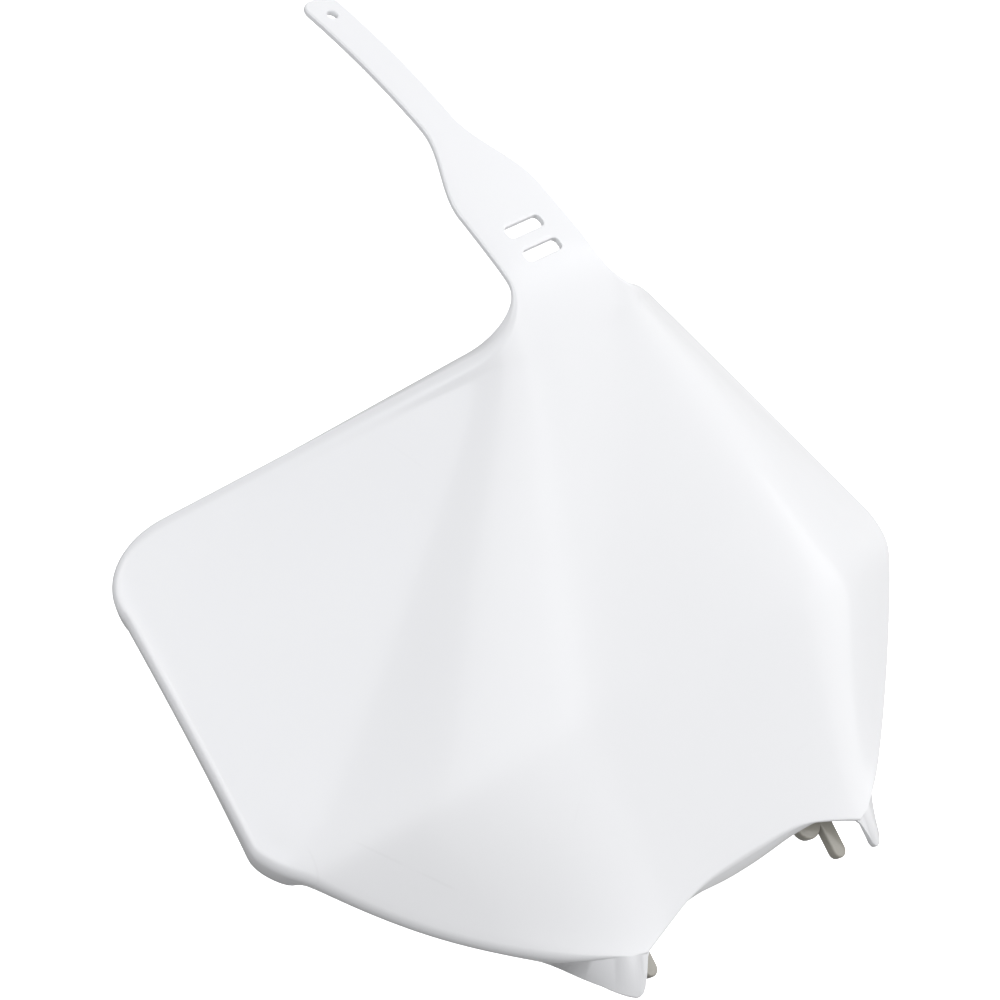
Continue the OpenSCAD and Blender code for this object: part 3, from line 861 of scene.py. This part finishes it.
def plain_surface(name, tone, glow, roughness=0.6):
    """A plain pale surface for the studio, with a little glow of its own."""
    material = bpy.data.materials.new(name)
    material.use_nodes = True
    shader = material.node_tree.nodes["Principled BSDF"]
    shader.inputs["Base Color"].default_value = (*tone, 1.0)
    shader.inputs["Roughness"].default_value = roughness
    shader.inputs["Emission Color"].default_value = (*tone, 1.0)
    shader.inputs["Emission Strength"].default_value = glow
    return material


def soft_light(name, azimuth, elevation, distance, width, height, glow, tone, only_mirrored):
    """A soft rectangular light that looks at the middle of the board.

    Azimuth runs from the front to the right, elevation from the horizon up, both in degrees, and the
    glow is the brightness of its surface. A light that is only mirrored shows in the gloss alone.
    """
    a, e = math.radians(azimuth), math.radians(elevation)
    way = Vector((math.sin(a) * math.cos(e), -math.cos(a) * math.cos(e), math.sin(e)))
    data = bpy.data.lights.new(name, "AREA")
    data.shape = "RECTANGLE"
    data.size, data.size_y = width, height
    data.energy = glow * math.pi * width * height
    data.color = tone
    light = bpy.data.objects.new(name, data)
    light.location = Vector(LIGHT_AIM) + way * distance
    light.rotation_euler = way.to_track_quat("Z", "Y").to_euler()
    light.visible_diffuse = not only_mirrored
    bpy.context.scene.collection.objects.link(light)
    return light


WHITE_LIGHT = (1.0, 1.0, 1.0)
COOL_LIGHT = (0.97, 0.98, 1.0)
LIGHT_AIM = (0.0, 0.0, -0.07)
# Name, azimuth, elevation, distance, width, height, glow, tone, and whether it is only mirrored
LIGHTS = (
    ("front_wall", 10, 15, 1.6, 1.2, 1.2, 1.0, WHITE_LIGHT, False),
    ("front_right_wall", 45, 30, 1.6, 1.2, 1.2, 0.9, WHITE_LIGHT, False),
    ("left_window", -75, 35, 1.6, 1.2, 1.2, 1.6, COOL_LIGHT, False),
    ("right_wall", 95, 15, 1.6, 1.6, 1.2, 0.23, WHITE_LIGHT, False),
    ("right_strip", 70, -7, 1.6, 0.59, 0.39, 0.8, WHITE_LIGHT, True),
    ("left_strip", -116, 28, 1.6, 1.15, 1.15, 2.2, WHITE_LIGHT, True),
)


def light_room(world, look):
    """Lights the room softly: one level all round, more above the horizon and on the right.

    Straight overhead only a share of the upper light is left.
    """
    world.use_nodes = True
    tree = world.node_tree
    back = tree.nodes["Background"]
    back.inputs["Color"].default_value = (*look.room_tone, 1.0)
    way = add_node(tree, "ShaderNodeTexCoord", (-1100, 0))
    split = add_node(tree, "ShaderNodeSeparateXYZ", (-900, 0))
    tree.links.new(way.outputs["Generated"], split.inputs["Vector"])
    height, side_share = split.outputs["Z"], split.outputs["X"]
    upper = look.room_light + look.sky_light
    rise = spread(tree, (-700, 150), height, *ABOVE_HORIZON, look.room_light, upper)
    side = spread(tree, (-700, -150), side_share, *ON_THE_RIGHT, 0.0, look.right_light)
    crown = spread(tree, (-700, -450), height, *OVERHEAD, 1.0, look.crown_share)
    total = add_node(tree, "ShaderNodeMath", (-450, 0), operation="MULTIPLY_ADD")
    tree.links.new(rise, total.inputs[0])
    tree.links.new(crown, total.inputs[1])
    tree.links.new(side, total.inputs[2])
    tree.links.new(total.outputs["Value"], back.inputs["Strength"])


def camera_axes(s, look):
    """The camera's right, down and forward in the board's own place.

    In face axes the view lies across the drop, turned to the side, and the picture is rolled about it.
    """
    c, n = math.cos(look.side_angle), math.sin(look.side_angle)
    side, drop, forward = np.array([c, 0.0, -n]), np.array([0.0, 1.0, 0.0]), np.array([n, 0.0, c])
    c, n = math.cos(look.roll), math.sin(look.roll)
    right, down = c * side + n * drop, c * drop - n * side
    turn = -math.pi / 2 - s.recline
    c, n = math.cos(turn), math.sin(turn)
    world = np.array([[1, 0, 0], [0, c, -n], [0, n, c]])
    return world @ right, world @ down, world @ forward


class BOARD_OT_stage(bpy.types.Operator):
    """Sets up the plain floor, the soft lights and the camera"""

    bl_idname = "board.stage"
    bl_label = "Set up studio"

    def execute(self, context):
        scene, look = context.scene, context.scene.stage_look
        s = plain_sizes(scene.board_sizes)
        low = cad_box[0][2] - look.floor_gap
        r = look.floor_reach
        corners = [(-r, -r, low), (r, -r, low), (r, r, low), (-r, r, low)]
        floor = new_object("floor", corners, [(0, 1, 2, 3)])
        floor.data.materials.append(plain_surface("pale_floor", look.floor_tone, look.floor_glow))
        floor.visible_diffuse = False
        floor.visible_glossy = False

        for values in LIGHTS:
            soft_light(*values)
        scene.world = scene.world or bpy.data.worlds.new("room")
        light_room(scene.world, look)

        right, down, forward = camera_axes(s, look)
        neck = to_world(s, np.zeros(3))
        place = neck - (look.neck_right * right - look.neck_up * down + look.distance * forward)
        data = bpy.data.cameras.new("photo_view")
        data.lens, data.sensor_width = look.lens, SENSOR
        data.clip_end = VIEW_END
        camera = bpy.data.objects.new("photo_view", data)
        turn = Matrix((right, -down, -forward)).transposed().to_4x4()
        camera.matrix_world = Matrix.Translation(Vector(place)) @ turn
        scene.collection.objects.link(camera)
        scene.camera = camera
        scene.view_settings.view_transform = "Standard"
        return {"FINISHED"}


class BOARD_PT_panel(bpy.types.Panel):
    """Lists the steps and the sizes in the sidebar"""

    bl_idname = "BOARD_PT_panel"
    bl_label = "Racing number board"
    bl_space_type = "VIEW_3D"
    bl_region_type = "UI"
    bl_category = "Board"

    def draw(self, context):
        layout = self.layout
        for step in STEPS:
            layout.operator(step.bl_idname)
        for group in (context.scene.board_sizes, context.scene.board_finish, context.scene.stage_look):
            column = layout.column()
            for key in group.__annotations__:
                column.prop(group, key)


STEPS = (BOARD_OT_shell, BOARD_OT_tabs, BOARD_OT_stage)
GROUPS = {"board_sizes": BoardSizes, "board_finish": BoardFinish, "stage_look": StageLook}
CLASSES = (*GROUPS.values(), *STEPS, BOARD_PT_panel)


def register():
    """Registers the classes and puts one of each property group on the scene."""
    for kind in CLASSES:
        bpy.utils.register_class(kind)
    for name, kind in GROUPS.items():
        setattr(bpy.types.Scene, name, bpy.props.PointerProperty(type=kind))


def unregister():
    """Takes the property groups off the scene and the classes out."""
    for name in GROUPS:
        delattr(bpy.types.Scene, name)
    for kind in reversed(CLASSES):
        bpy.utils.unregister_class(kind)


def main():
    register()
    bpy.ops.board.shell()
    bpy.ops.board.tabs()
    bpy.ops.board.stage()


if __name__ == "__main__":
    main()
